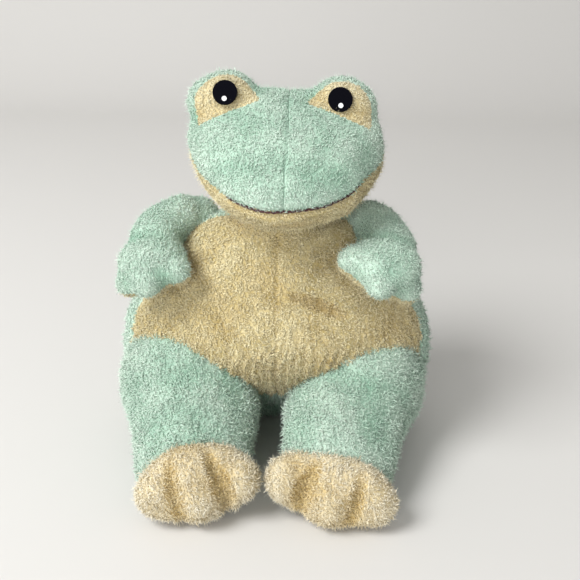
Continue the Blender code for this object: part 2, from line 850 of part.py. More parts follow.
def build_arm(side, root):
    joint = empty(f"shoulder_joint_{side}", shoulder_point(side), root)
    turns_about(joint, "open", shoulder_axis(side), 0, SHOULDER_OPEN_DEG)
    skin = hollow(arm_form(side), arm_form(side, SKIN, plain=True))
    reach = SHOULDER_SEAT_DEPTH + ARM_RADIUS
    combine(skin, [shoulder_seat(side, 0, reach, SEAT_SLACK)], "DIFFERENCE")
    along = from_shares(side, PALM_PLACE_SHARES[side], ARM_LENGTH)
    under = shoulder_point(side) + along - UP * UNDERSIDE_DROP
    cuff = shoulder_point(side) + along * CUFF_SHARE
    planes = [(under, from_shares(side, PAW_RISE_SHARES, 1)), (cuff, -along)]
    finish(panel(skin, "under", planes), f"arm_under_{side}", YELLOW_CLOTH, joint)
    finish(rest_of(skin, "top", planes), f"arm_top_{side}", MINT_CLOTH, joint)
    remove(skin)
    filling = arm_form(side, SKIN + SEAM_GAP, plain=True)
    combine(filling, [shoulder_seat(side, 0, SHOULDER_SEAT_DEPTH)], "UNION")
    finish(filling, f"arm_filling_{side}", FIBREFILL, joint)


def build_leg(side, root):
    """A green leg with a pale foot sewn across its end, on one hip."""
    joint = empty(f"hip_joint_{side}", hip_point(side), root)
    turns_about(joint, "lift", -OUTWARD_X, -HIP_DOWN_DEG, HIP_UP_DEG)
    hip, ankle = leg_line(side)
    hole = hip - FORWARD * STUFFING_HOLE_DEPTH
    ankle_seam = Vector((0, ankle.y, 0))
    leg = hollow(above_floor(leg_form(side)), leg_form(side, SKIN, plain=True))
    combine(leg, [hip_seat(hip.x, SEAT_SLACK)], "DIFFERENCE")
    planes = [(hole, -FORWARD), (ankle_seam, FORWARD)]
    finish(panel(leg, "leg", planes), f"leg_{side}", MINT_CLOTH, joint)
    remove(leg)
    stuffing = leg_form(side, SKIN + SEAM_GAP, plain=True)
    combine(stuffing, [hip_seat(hip.x, inner=SIDES[side] * HIP_SEAT_X)], "UNION")
    finish(
        panel(stuffing, "leg_filling", [(ankle_seam, FORWARD)]),
        f"leg_filling_{side}",
        FIBREFILL,
        joint,
    )
    remove(stuffing)
    foot = hollow(above_floor(foot_form(side)), foot_form(side, SKIN, plain=True))
    sole = Vector((0, 0, SOLE_HEIGHT))
    top = [(ankle_seam, -FORWARD), (sole, -UP)]
    under = [(ankle_seam, -FORWARD), (sole, UP)]
    finish(panel(foot, "foot_top", top), f"foot_top_{side}", CREAM_CLOTH, joint)
    finish(panel(foot, "foot_sole", under), f"foot_sole_{side}", CREAM_CLOTH, joint)
    remove(foot)
    stuffing = foot_form(side, SKIN + SEAM_GAP, plain=True)
    finish(
        panel(stuffing, "foot_filling", [(ankle_seam, -FORWARD)]),
        f"foot_filling_{side}",
        FIBREFILL,
        joint,
    )
    remove(stuffing)


def centre_on_origin(root):
    """Moves the toy so that the middle of its underside is the origin."""
    bpy.context.view_layer.update()
    corners = [
        made.matrix_world @ vertex.co
        for made in PARTS.objects
        if made.type == "MESH"
        for vertex in made.data.vertices
    ]
    lower = Vector([min(corner[axis] for corner in corners) for axis in range(3)])
    upper = Vector([max(corner[axis] for corner in corners) for axis in range(3)])
    root.location = Vector((-(lower.x + upper.x) / 2, -(lower.y + upper.y) / 2, -lower.z))
    bpy.context.view_layer.update()


def main():
    root = empty("plush_frog_root", Vector((0, 0, 0)))
    build_torso(root)
    neck = build_neck(root)
    build_head(neck)
    for side in SIDES:
        build_arm(side, root)
        build_leg(side, root)
    centre_on_origin(root)
    for made in PARTS.objects:
        if made.type == "EMPTY":
            print(made.name, "at", list(made.matrix_world.translation))


clear_scene()
PARTS = collection("plush_frog")
TOOLS = collection("cutters")
MINT_CLOTH = material("mint_plush", MINT, 0.95)
YELLOW_CLOTH = material("yellow_plush", YELLOW, 0.95)
CREAM_CLOTH = material("cream_plush", CREAM, 0.95)
PUPIL = material("pupil_satin", BLACK, 0.35)
GLINT = material("glint_thread", WHITE, 0.5)
THREAD = material("mouth_thread", BROWN, 0.7)
FIBREFILL = material("fibre_stuffing", FIBRE, 1.0)
PELLETS = material("pellet_pouch", PELLET, 0.8)
main()
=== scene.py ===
"""The looks of a seated plush frog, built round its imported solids.

Metres, +Z up. The frog faces -Y, and left and right are its own: its left side is at +X. Each
sewn form is made as a smooth body, cut into its panels of cloth, and given a curly pile of real
locks. Places are written in the frog's own frame, whose middle the neck's joint gives.
"""

import json
import math
from collections import namedtuple

import bmesh
import bpy
import numpy as np
from mathutils import Euler, Matrix, Vector
from mathutils.bvhtree import BVHTree


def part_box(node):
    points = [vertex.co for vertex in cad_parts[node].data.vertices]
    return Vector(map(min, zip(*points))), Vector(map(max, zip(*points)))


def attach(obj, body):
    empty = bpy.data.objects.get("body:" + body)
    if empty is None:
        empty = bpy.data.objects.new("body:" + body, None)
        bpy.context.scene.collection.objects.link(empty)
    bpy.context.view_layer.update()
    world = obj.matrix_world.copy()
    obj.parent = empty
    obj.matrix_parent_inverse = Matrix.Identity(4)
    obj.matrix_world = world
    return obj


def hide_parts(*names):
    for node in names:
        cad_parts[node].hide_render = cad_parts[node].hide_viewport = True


# Cloth, seams and pile
PILE_SINK = 0.0026
CLOTH = 0.0022
CELL = 0.0022
FLOOR = 0.0004
SEAM_WIDTH = 0.0020
SEAM_DEPTH = 0.0009
SMOOTH_LEVELS = 2
LOBE_LEVELS = 4
SOFTENING = 0.5
TINY = 1e-12

# Body
TORSO_WIDTH = 0.252
TORSO_DEPTH = 0.152
TORSO_HEIGHT = 0.194
TORSO_Y = 0.015
BELLY_SEAM_Y = -0.008
BELLY_SEAM_HEIGHT = 0.108
BELLY_SEAM_LEAN_DEG = 15.0
TORSO_RING_SHARES = (
    (0.000, 0.35, 0.04, 0.34),
    (0.000, 0.74, 0.08, 0.72),
    (0.090, 0.97, 0.14, 0.96),
    (0.270, 1.04, 0.66, 1.04),
    (0.470, 1.05, 1.08, 0.99),
    (0.650, 0.93, 0.87, 0.86),
    (0.800, 0.71, 0.60, 0.69),
    (0.930, 0.56, 0.46, 0.60),
    (1.000, 0.36, 0.30, 0.38),
)
BELLY_FOLD_PATH = (
    (0.0135, 0.1430),
    (0.0225, 0.1400),
    (0.0320, 0.1365),
    (0.0425, 0.1320),
    (0.0520, 0.1290),
)
BELLY_FOLDS = (
    (0.0030, BELLY_FOLD_PATH),
    (0.0020, ((0.0240, 0.1396), (0.0320, 0.1365), (0.0440, 0.1315))),
)
BELLY_FOLD_WIDTH = 0.0025
BELLY_PUFF_WIDTH = 0.0130
BELLY_PUFF_DEPTH = -0.0016
BELLY_PUFF_RISE = 0.0110
FURROW_SPACING = 0.0074
FURROW_DEPTH = 0.0013
FURROW_TOP = 0.134
FURROW_FADE_SHARE = 3
FURROW_SWAY = 0.80
BODY_SOFTENING = 10

# The soft slope of the body under each shoulder
SLOPE_X = 0.054
SLOPE_Y = 0.028
SLOPE_HEIGHT = 0.160
SLOPE_HALF_SIZES = (0.034, 0.026, 0.026)

# Neck
NECK_RADIUS = 0.033
NECK_Y = 0.014
NECK_HEIGHT = 0.193

# Head
HEAD_WIDTH = 0.147
HEAD_FRONT = 0.085
HEAD_BACK = 0.050
HEAD_HEIGHT = 0.095
HEAD_BASE = 0.191
HEAD_X = 0.0035
HEAD_Y = 0.016
HEAD_ROLL_DEG = 2.6
HEAD_SOFTENING = 8
HEAD_RING_SHARES = (
    (0.000, 0.34, 0.34, 0.22),
    (0.060, 0.60, 0.76, 0.40),
    (0.210, 0.87, 1.03, 0.72),
    (0.430, 1.06, 0.98, 1.04),
    (0.660, 1.04, 0.72, 1.06),
    (0.860, 0.90, 0.42, 0.86),
    (1.000, 0.54, 0.16, 0.44),
)
MOUTH_HEIGHT = 0.2165
MOUTH_TILT_DEG = 17.0
MOUTH_REACH = {"right": 0.038, "left": 0.056}
MOUTH_WIDTH = 0.0026
MOUTH_DEPTH = 0.0022
MOUTH_THREAD_RADIUS = 0.0008
MOUTH_SWAY = 0.0005
MOUTH_SWAY_STEP = 2.3
MOUTH_POINTS = 61
MOUTH_THREAD_ROUNDNESS = 2
JAW_BACK_Y = 0.030
CHIN_FOLDS = (
    ((-0.012, 0.2020), (0.006, 0.2050), (0.026, 0.2025)),
    ((0.004, 0.1985), (0.014, 0.2030), (0.034, 0.2010)),
)
CHIN_FOLD_WIDTH = 0.0020
CHIN_FOLD_DEPTH = 0.0030

# Eyes
EYE_RADIUS = 0.0245
EYE_SPACING = 0.080
EYES_X = -0.001
EYE_FLARE = 0.007
EYE_HEIGHT = 0.273
EYE_Y = 0.021
EYES_UP_DEG = 27.0
EYES_OUT_DEG = 4.0
PATCH_RADIUS = 0.026
PATCH_DROP = 0.008
PATCH_EDGE_DROP = {"right": 0.0134, "left": 0.0108}
PATCH_EDGE_DEG = 24.0
PUPIL_BARE = 0.0084

# Arms
ARM_RADIUS = 0.020
ARM_LENGTH = 0.080
PALM_WIDTH = 0.058
PALM_THICKNESS = 0.040
FINGER_RADIUS = 0.0135
FINGER_LENGTH = 0.034
ARM_SOFTENING = 10
UNDERSIDE_DROP = 0.008
CUFF_SHARE = 0.55
PAW_RISE_SHARES = (0.33, 0.34, 0.88)
ARM_LINE_SHARES = {
    "right": ((-0.04, 0.00, 0.10), (0.22, 0.10, 0.03), (0.40, 0.30, -0.10), (0.41, 0.58, -0.19)),
    "left": ((-0.04, 0.00, 0.08), (0.13, 0.14, 0.02), (0.27, 0.40, -0.10), (0.22, 0.80, -0.10)),
}
SLEEVE_RADII = (0.0200, 0.0225, 0.0255, 0.0250)
PALM_PLACE_SHARES = {"right": (0.36, 0.66, -0.18), "left": (0.18, 0.90, -0.08)}
FINGER_WAY_SHARES = {
    "right": ((0.70, 0.36, -0.62), (0.08, 0.92, -0.34), (-0.79, 0.60, -0.05)),
    "left": ((0.68, 0.40, -0.62), (-0.20, 0.90, -0.25), (-0.97, 0.15, 0.15)),
}

# Legs and feet
HIP_RADIUS = {"right": 0.059, "left": 0.056}
LEG_LENGTH = 0.094
LEG_SOFTENING = 8
ANKLE_WIDTH = 0.085
ANKLE_HEIGHT = 0.062
LEG_RING_SHARES = (-0.05, 0.3, 0.65, 1.0, 1.12)
ANKLE_IN_SHARE = {"right": 0.11, "left": 0.215}
FOOT_IN_SHARE = {"right": 0.140, "left": 0.225}
FOOT_WIDTH = {"right": 0.086, "left": 0.094}
FOOT_HEIGHT = {"right": 0.062, "left": 0.056}
FOOT_LENGTH = 0.036
FOOT_SOFTENING = 3
SOLE_HEIGHT = 0.016
TOE_RADIUS = 0.0175
TOE_LENGTH = 0.037
TOE_TURN_DEG = 15.0
FOOT_ROLL_DEG = 11.0
TOE_SPREAD_DEG = 26.0
TOE_SHARES = ((-1, 0.94, 0.05), (0, 1.00, 0.10), (1, 0.76, 0.02))
TOE_CREASES = ((-0.5, 0.0062), (0.5, 0.0050))
TOE_CREASE_WIDTH = 0.0034
TOE_CREASE_START = 0.014
TOE_FILL_SHARES = (0.45, 0.80, 0.70)

# Pile: how far apart, how long and how thick its locks are, how far they curl over, how much
# they hang down, and the share of strays that stand up longer than the rest
Pile = namedtuple("Pile", "spacing length radius curl fall strays")
FACE_PILE = Pile(0.00125, 0.0034, 0.00030, 1.00, 0.15, 0.05)
PATCH_PILE = Pile(0.00120, 0.0031, 0.00028, 0.90, 0.10, 0.04)
BELLY_PILE = Pile(0.00125, 0.0038, 0.00030, 1.00, 0.45, 0.02)
BACK_PILE = Pile(0.00160, 0.0042, 0.00040, 1.00, 0.35, 0.08)
ARM_PILE = Pile(0.00120, 0.0034, 0.00029, 1.00, 0.15, 0.05)
LEG_PILE = Pile(0.00130, 0.0046, 0.00030, 0.90, 0.45, 0.14)
FOOT_PILE = Pile(0.00120, 0.0041, 0.00026, 0.85, 0.30, 0.12)
PILE_SEEDS = {
    "back": 11,
    "belly": 12,
    "jaw": 21,
    "crown": 22,
    "patch": 24,
    "sleeve": 31,
    "pad": 32,
    "leg": 41,
    "foot": 42,
    "sole": 43,
}

# A lock: its bends and twists from root to tip, and how its size and brightness vary. Its
# brightness rises from root to tip, and the cloth under the locks is dark: painted shade within
# the pile
LOCK_BENDS = ((0.45, 0.35), (1.35, 0.75))
LOCK_CORNERS = 3
LOCK_WIDTH_SHARES = (1.0, 1.10)
LOCK_LENGTH_SHARES = (0.6, 1.3)
LOCK_RADIUS_SHARES = (0.6, 1.45)
STRAY_LENGTH_SHARE = 1.35
STRAY_CURL_SHARE = 0.45
LOCK_SHADES = (0.15, 0.62)
TIP_SHADE = 1.0
LOCK_SHADE_SHIFT = 0.04
LOCK_SHADE_SPREAD = 0.11
CLOTH_SHADE = 0.30
TRIES_PER_LOCK = 4
LEAN_SPREAD = 1.1
NEARLY_UPRIGHT = 0.9

# Fine straight hairs between the locks
HAIR_SPACING = 0.0027
HAIR_LENGTH = 0.0056
HAIR_RADIUS = 0.00012
HAIR_LENGTH_SHARES = (0.5, 1.2)
HAIR_LEAN_SHARES = (0.1, 0.9)
HAIR_SHADE = 0.8

# Slow wandering over space, which turns the locks, parts them in cracks (darkened with painted
# shade) and makes soft lumps
SWIRL_REACH = 3.1
SWIRLS = ((1.0, 1.7, 0.9, 0.4), (1.1, 1.9, 0.8, 2.0), (1.2, 1.6, 0.7, 1.0))
PILE_WANDER = 420.0
LUMP_WANDER = 95.0
LUMP_DEPTH = 0.0007
BODY_LUMP_DEPTH = 0.0003
CRACK_WANDER = 560.0
CRACK_WIDTH = 1.7
CRACK_SHADE = 0.50
CRACK_SHORTENING = 0.75
# How deep each point lies in a fold, which sets the painted shade in folds
HOLLOW_ROUNDS = 30
HOLLOW_RANGE = 0.0090

# Colours, linear: the pile's roots and tips, then both where it lies deep in a fold. The darker
# roots are painted shade within the pile, and the darker, richer pair for folds is painted shade
MINT = ((0.32, 0.46, 0.365), (0.77, 0.91, 0.79), (0.17, 0.38, 0.26), (0.52, 0.78, 0.61))
YELLOW = ((0.37, 0.28, 0.09), (1.00, 0.92, 0.62), (0.36, 0.25, 0.08), (0.84, 0.69, 0.36))
PALE = ((0.48, 0.39, 0.20), (0.92, 0.87, 0.63), (0.48, 0.36, 0.14), (0.93, 0.80, 0.46))
CREAM = ((0.56, 0.45, 0.23), (1.00, 0.95, 0.79), (0.48, 0.33, 0.10), (0.94, 0.78, 0.42))
BLACK = (0.0012, 0.0012, 0.0030)
GLINT = (0.80, 0.82, 0.84)
MAROON = (0.055, 0.022, 0.024)
PAPER = (0.66, 0.65, 0.63)
SKY = (1.0, 0.99, 0.97)

# Cloth's and thread's shine, and the scale, detail and reach of the plush's mottling
PLUSH_SHINE = {
    "Roughness": 0.85,
    "Sheen Weight": 0.35,
    "Sheen Roughness": 0.45,
    "Specular IOR Level": 0.2,
}
PUPIL_SHINE = {"Roughness": 0.60, "Specular IOR Level": 0.04}
GLINT_SHINE = {"Roughness": 0.5, "Specular IOR Level": 0.4}
MOUTH_SHINE = {"Roughness": 0.7, "Specular IOR Level": 0.2}
PAPER_SHINE = {"Roughness": 0.9}
GRAIN = (650.0, 2.0, 0.14)
BLOTCHES = (60.0, 3.0, 0.15)
STAINS = (24.0, 3.0, 0.16)
NOISE_RANGE = (0.3, 0.7)
FOLD_SHADING_RANGE = (0.42, 1.0)
PLUSH_BUMP = {"Strength": 0.6, "Distance": 0.0006}
STITCHES = {"Scale": 700.0, "Distortion": 1.5}
STITCH_BUMP = {"Strength": 0.5, "Distance": 0.0003}
STITCH_LIGHTENING = 1.8
MIX_EVEN_INPUT = 6
MIX_FOLD_SHADE_INPUT = 7
MIX_OUTPUT = 2

# Camera, found by laying the solids over the photograph
CAMERA_TARGET = Vector((0.0104, 0, 0.130))
CAMERA_DISTANCE = 0.640
CAMERA_ELEVATION_DEG = 25.0
CAMERA_ROLL_DEG = 1.0
CAMERA_LENS_MM = 49.66

# Stage and light
STAGE_REACH = 3.0
STAGE_DEPTH = 1.2
STAGE_HEIGHT = 2.4
STAGE_CURVE = 0.4
STAGE_STEPS = 8
AMBIENT = 0.48
KEY_AT = (-1.30, -0.95, 1.90)
KEY_POWER = 54.0
KEY_SIZE = 1.2
FILL_AT = (-0.6, -1.8, 0.45)
FILL_POWER = 15.0
FILL_SIZE = 1.0

SIDES = {"right": -1.0, "left": 1.0}
UP = Vector((0, 0, 1))
FORWARD = Vector((0, -1, 0))
OUTWARD_X = Vector((1, 0, 0))
SMOOTH_RING = 28

# The grid that spaces the locks lies askew, so that it leaves no rows
GRID_TURN = np.array(Euler((0.6, 0.9, 0.4)).to_matrix())

Skin = namedtuple("Skin", "points normals triangles")


# Frame


def joint_place(name):
    found = [joint for joint in FRAME["joints"] if joint["name"] == name]
    return Vector(found[0]["pos_m"])


def shoulder_point(side):
    return joint_place(f"shoulder_{side}")


def hip_point(side):
    return joint_place(f"hip_{side}")


def place(x, y, z):
    """A place in the frog's own frame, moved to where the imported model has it."""
    return MIDDLE + Vector((x, y, z))


def from_shares(side, shares, length):
    outwards, forwards, upwards = shares
    return Vector((SIDES[side] * outwards, -forwards, upwards)) * length


# Mesh tools


def new_object(name, mesh):
    made = bpy.data.objects.new(name, mesh)
    bpy.context.scene.collection.objects.link(made)
    return made


def from_bmesh(name, bm):
    bmesh.ops.recalc_face_normals(bm, faces=bm.faces)
    mesh = bpy.data.meshes.new(name)
    bm.to_mesh(mesh)
    bm.free()
    return new_object(name, mesh)


def bake(made):
    """Turns an object's modifiers into plain mesh."""
    bpy.context.view_layer.update()
    seen = made.evaluated_get(bpy.context.evaluated_depsgraph_get())
    mesh = bpy.data.meshes.new_from_object(seen)
    made.modifiers.clear()
    made.data = mesh
    return made


def remove(made):
    bpy.data.objects.remove(made, do_unlink=True)


def ring(centre, across, rise, half_across, half_rise, half_fall):
    points = []
    for step in range(SMOOTH_RING):
        angle = 2 * math.pi * (step + 0.5) / SMOOTH_RING
        lift = math.sin(angle)
        reach = half_rise if lift > 0 else half_fall
        points.append(centre + across * half_across * math.cos(angle) + rise * reach * lift)
    return points


def loft(name, rings):
    """A closed body through rings of points, made smooth by subdivision."""
    bm = bmesh.new()
    rows = [[bm.verts.new(point) for point in points] for points in rings]
    for lower, upper in zip(rows, rows[1:]):
        for i in range(len(lower)):
            j = (i + 1) % len(lower)
            bm.faces.new((lower[i], lower[j], upper[j], upper[i]))
    bm.faces.new(list(reversed(rows[0])))
    bm.faces.new(rows[-1])
    made = from_bmesh(name, bm)
    smooth = made.modifiers.new("smooth", "SUBSURF")
    smooth.levels = SMOOTH_LEVELS
    smooth.render_levels = SMOOTH_LEVELS
    return bake(made)


def lobe(name, centre, half_sizes, turn=None):
    """An ellipsoid whose own axes are turned by a rotation matrix."""
    bm = bmesh.new()
    bmesh.ops.create_icosphere(bm, subdivisions=LOBE_LEVELS, radius=1)
    turn = turn or Matrix.Identity(3)
    shape = turn.to_4x4() @ Matrix.Diagonal((*half_sizes, 1))
    bmesh.ops.transform(bm, matrix=Matrix.Translation(centre) @ shape, verts=bm.verts)
    return from_bmesh(name, bm)


def fused(name, pieces, rounds):
    """Overlapping closed bodies made one skin, softened where they meet."""
    bm = bmesh.new()
    for piece in pieces:
        bm.from_mesh(piece.data)
        remove(piece)
    mesh = bpy.data.meshes.new(name)
    bm.to_mesh(mesh)
    bm.free()
    made = new_object(name, mesh)
    cells = made.modifiers.new("cells", "REMESH")
    cells.mode = "VOXEL"
    cells.voxel_size = CELL
    soft = made.modifiers.new("soft", "SMOOTH")
    soft.factor = SOFTENING
    soft.iterations = rounds
    bake(made)
    mesh = made.data
    points = np.empty(len(mesh.vertices) * 3)
    mesh.vertices.foreach_get("co", points)
    mesh.calc_loop_triangles()
    corners = np.empty(len(mesh.loop_triangles) * 3, np.int32)
    mesh.loop_triangles.foreach_get("vertices", corners)
    remove(made)
    return moved(points.reshape(-1, 3), corners.reshape(-1, 3))


# Skins


def unit(vectors):
    return vectors / np.maximum(np.linalg.norm(vectors, axis=1, keepdims=True), TINY)


def moved(points, triangles):
    """A skin with these points, and normals to suit."""
    a, b, c = (points[triangles[:, k]] for k in range(3))
    slopes = np.cross(b - a, c - a)
    normals = np.zeros_like(points)
    for k in range(3):
        for axis in range(3):
            normals[:, axis] += np.bincount(triangles[:, k], slopes[:, axis], len(points))
    return Skin(points, unit(normals), triangles)


def pressed(skin, offsets):
    """Moves a skin's points in along their normals, or out by negative offsets."""
    depths = np.broadcast_to(offsets, len(skin.points))
    return moved(skin.points - skin.normals * depths[:, None], skin.triangles)


def grooved(skin, distances, width, depth):
    """Presses a groove into a skin where the distances from its line are small."""
    return pressed(skin, depth * np.exp(-((distances / width) ** 2)))


def on_floor(skin):
    """Flattens what would lie under the floor."""
    points = skin.points.copy()
    points[:, 2] = np.maximum(points[:, 2], FLOOR)
    return moved(points, skin.triangles)


def swirl(points, wander):
    """A slow wandering number over space, between about -9 and 9."""
    spots = (points * wander).T
    total = 0
    for axis, (rate, bend, bend_rate, start) in enumerate(SWIRLS):
        bends = bend * np.sin(spots[axis - 1] * bend_rate + start)
        total = total + np.sin(spots[axis] * rate + bends)
    return SWIRL_REACH * total


def lumpy(skin, depth=LUMP_DEPTH):
    """The soft unevenness that stuffing gives."""
    return pressed(skin, depth * swirl(skin.points, LUMP_WANDER) / SWIRL_REACH)


def from_plane(skin, point, normal):
    return np.abs((skin.points - np.array(point)) @ np.array(normal))


def from_path(skin, path):
    """How far each point of a skin's front lies from a path of places across and up."""
    spots = skin.points[:, [0, 2]] - np.array(MIDDLE)[[0, 2]]
    nearest = np.full(len(spots), np.inf)
    for start, end in zip(np.array(path), np.array(path[1:])):
        step = end - start
        along = np.clip((spots - start) @ step / (step @ step), 0, 1)
        gaps = np.linalg.norm(spots - start - along[:, None] * step, axis=1)
        nearest = np.minimum(nearest, gaps)
    return np.where(skin.normals[:, 1] < 0, nearest, np.inf)


def hollows(skin):
    """From 0 on a skin's bumps to 1 deep in its folds, and about a half where it is even: how much
    painted shade the pile gets in folds.
    """
    a, b, c = skin.triangles.T
    starts, ends = np.concatenate([a, b, c]), np.concatenate([b, c, a])
    count = len(skin.points)
    neighbours = np.bincount(starts, minlength=count)[:, None]
    around = skin.points
    for _ in range(HOLLOW_ROUNDS):
        sums = [np.bincount(starts, around[ends, axis], count) for axis in range(3)]
        around = np.stack(sums, axis=1) / neighbours
    rise = ((around - skin.points) * skin.normals).sum(axis=1)
    return np.clip(0.5 + (rise - np.median(rise)) / HOLLOW_RANGE, 0, 1)


# Pile


def scattered(skin, triangles, spacing, rng):
    """Places over a skin about one spacing apart: each one's triangle and its weights there."""
    a, b, c = (skin.points[triangles[:, k]] for k in range(3))
    areas = np.linalg.norm(np.cross(b - a, c - a), axis=1) / 2
    count = int(areas.sum() / spacing**2 * TRIES_PER_LOCK)
    chosen = rng.choice(len(areas), size=count, p=areas / areas.sum())
    u = np.sqrt(rng.random(count))
    v = rng.random(count)
    weights = np.stack([1 - u, u * (1 - v), u * v], axis=1)
    spots = (skin.points[triangles[chosen]] * weights[:, :, None]).sum(axis=1)
    cells = np.floor(spots @ GRID_TURN / spacing).astype(np.int64)
    _, first = np.unique(cells, axis=0, return_index=True)
    return triangles[chosen[first]], weights[first]


def spikes(rows):
    """Triangles of closed tapered spikes, each with rows of points round it and a last one."""
    corners = LOCK_CORNERS
    last = corners * (rows - 1)
    faces = [(0, k + 1, k) for k in range(1, corners - 1)]
    for row in range(rows - 1):
        for k in range(corners):
            a, b = corners * row + k, corners * row + (k + 1) % corners
            faces += [(a, b, b + corners), (a, b + corners, a + corners)]
    faces += [(last + k, last + (k + 1) % corners, last + corners) for k in range(corners)]
    return np.array(faces)


def round_points(centre, lean, ways, width):
    """The corners of a lock round each centre."""
    other = np.cross(ways, lean)
    points = []
    for corner in range(LOCK_CORNERS):
        turn = 2 * math.pi * corner / LOCK_CORNERS
        points.append(centre + (lean * math.cos(turn) + other * math.sin(turn)) * width[:, None])
    return points


def leaning(spots, ways, spread, fall, rng):
    """The way that each lock leans: along the skin, wandering, and partly downhill."""
    upright = np.abs(ways[:, 2:]) >= NEARLY_UPRIGHT
    side = unit(np.cross(ways, np.where(upright, [list(OUTWARD_X)], [list(UP)])))
    other = np.cross(ways, side)
    angle = swirl(spots, PILE_WANDER) + rng.normal(0, spread, len(spots))
    lean = side * np.cos(angle)[:, None] + other * np.sin(angle)[:, None]
    return unit(lean - np.array([0, 0, fall]))


def locks(spots, ways, pile, rng):
    """Curled tapered locks: their rows of points, and how bright each one is, with painted shade
    darker at the root and in the cracks.
    """
    count = len(spots)
    lean = leaning(spots, ways, LEAN_SPREAD, pile.fall, rng)
    curl = unit(np.cross(ways, lean)) * rng.choice([-1.0, 1.0], count)[:, None]
    stands = (rng.random(count) < pile.strays)[:, None]
    cracks = np.exp(-((swirl(spots, CRACK_WANDER) / CRACK_WIDTH) ** 2))[:, None]
    sizes = pile.length * rng.uniform(*LOCK_LENGTH_SHARES, count)[:, None]
    sizes = sizes * np.where(stands, STRAY_LENGTH_SHARE, 1.0) * (1 - CRACK_SHORTENING * cracks)
    curls = pile.curl * np.where(stands, STRAY_CURL_SHARE, 1.0)
    radii = pile.radius * rng.uniform(*LOCK_RADIUS_SHARES, count)
    centre = spots - ways * pile.radius
    rows = []
    for (bend, twist), width_share in zip(LOCK_BENDS, LOCK_WIDTH_SHARES):
        rows += round_points(centre, lean, ways, radii * width_share)
        way = unit(ways * np.cos(bend * curls) + lean * np.sin(bend * curls) + curl * twist)
        centre = centre + way * sizes / len(LOCK_BENDS)
    points = np.stack(rows + [centre], axis=1)
    along = np.append(np.repeat(LOCK_SHADES, LOCK_CORNERS), TIP_SHADE)
    shade = rng.normal(LOCK_SHADE_SHIFT, LOCK_SHADE_SPREAD, count)[:, None] + along
    # Painted shade: the cracks between clumps are darkened
    return points, shade - CRACK_SHADE * cracks, spikes(len(LOCK_BENDS))


def hairs(spots, ways, rng):
    """Fine straight hairs that stand out of the pile."""
    count = len(spots)
    lean = unit(rng.normal(0, 1, (count, 3)))
    way = unit(ways + lean * rng.uniform(*HAIR_LEAN_SHARES, count)[:, None])
    width = np.full(count, HAIR_RADIUS)
    rows = round_points(spots - ways * HAIR_RADIUS, unit(np.cross(ways, lean)), ways, width)
    tips = spots + way * HAIR_LENGTH * rng.uniform(*HAIR_LENGTH_SHARES, count)[:, None]
    shade = np.full((count, LOCK_CORNERS + 1), HAIR_SHADE)
    return np.stack(rows + [tips], axis=1), shade, spikes(1)


def cloth_of(skin, triangles):
    """A panel of cloth with its thickness: the rows of its points in the skin, and its faces."""
    used, index = np.unique(triangles, return_inverse=True)
    outer = index.reshape(-1, 3)
    count = len(used)
    edges = np.concatenate([outer[:, [0, 1]], outer[:, [1, 2]], outer[:, [2, 0]]])
    keys = edges[:, 0] * count + edges[:, 1]
    back = edges[:, 1] * count + edges[:, 0]
    rim = edges[~np.isin(keys, back)]
    walls = [
        np.stack([rim[:, 1], rim[:, 0], rim[:, 0] + count], axis=1),
        np.stack([rim[:, 1], rim[:, 0] + count, rim[:, 1] + count], axis=1),
    ]
    points = np.concatenate([skin.points[used], skin.points[used] - skin.normals[used] * CLOTH])
    return used, points, np.concatenate([outer, outer[:, ::-1] + count, *walls])


def grown(skin, triangles, deep, stays, spacing, grow, rng):
    """One kind of pile on a panel: its points, their brightness and depth, and its faces."""
    corners, weights = scattered(skin, triangles, spacing, rng)
    spots = (skin.points[corners] * weights[:, :, None]).sum(axis=1)
    ways = unit((skin.normals[corners] * weights[:, :, None]).sum(axis=1))
    points, shade, shape = grow(spots, ways)
    kept = stays(spots, points[:, -1])
    points, shade = points[kept], np.clip(shade[kept], 0, 1)
    count, rows = points.shape[:2]
    fold = np.repeat((deep[corners] * weights).sum(axis=1)[kept], rows)
    faces = (shape[None] + (np.arange(count) * rows)[:, None, None]).reshape(-1, 3)
    return points.reshape(-1, 3), shade.ravel(), fold, faces


def piled(skin, name, keep, pile, material, seed, bare=None):
    """The panel of a skin where keep holds: its cloth with its pile, as one piece."""
    middles = skin.points[skin.triangles].mean(axis=1)
    triangles = skin.triangles[keep(middles)]
    rng = np.random.default_rng(PILE_SEEDS[seed])
    deep = hollows(skin)
    used, cloth, faces = cloth_of(skin, triangles)

    def stays(spots, tips):
        return keep(tips) if bare is None else keep(tips) & ~bare(spots)

    # The cloth gets painted shade under the pile, and every part carries its fold depth for the
    # painted shade in folds
    parts = [(cloth, np.full(len(cloth), CLOTH_SHADE), np.tile(deep[used], 2), faces)]
    for spacing, grow in (
        (pile.spacing, lambda spots, ways: locks(spots, ways, pile, rng)),
        (HAIR_SPACING, lambda spots, ways: hairs(spots, ways, rng)),
    ):
        parts.append(grown(skin, triangles, deep, stays, spacing, grow, rng))
    points, shades, fold_shades = (np.concatenate([part[k] for part in parts]) for k in range(3))
    starts = np.cumsum([0] + [len(part[0]) for part in parts])
    faces = np.concatenate([part[3] + start for part, start in zip(parts, starts)])
    points[:, 2] = np.maximum(points[:, 2], FLOOR)
    return mesh_of(name, points, faces, {"shade": shades, "fold": fold_shades}, material)


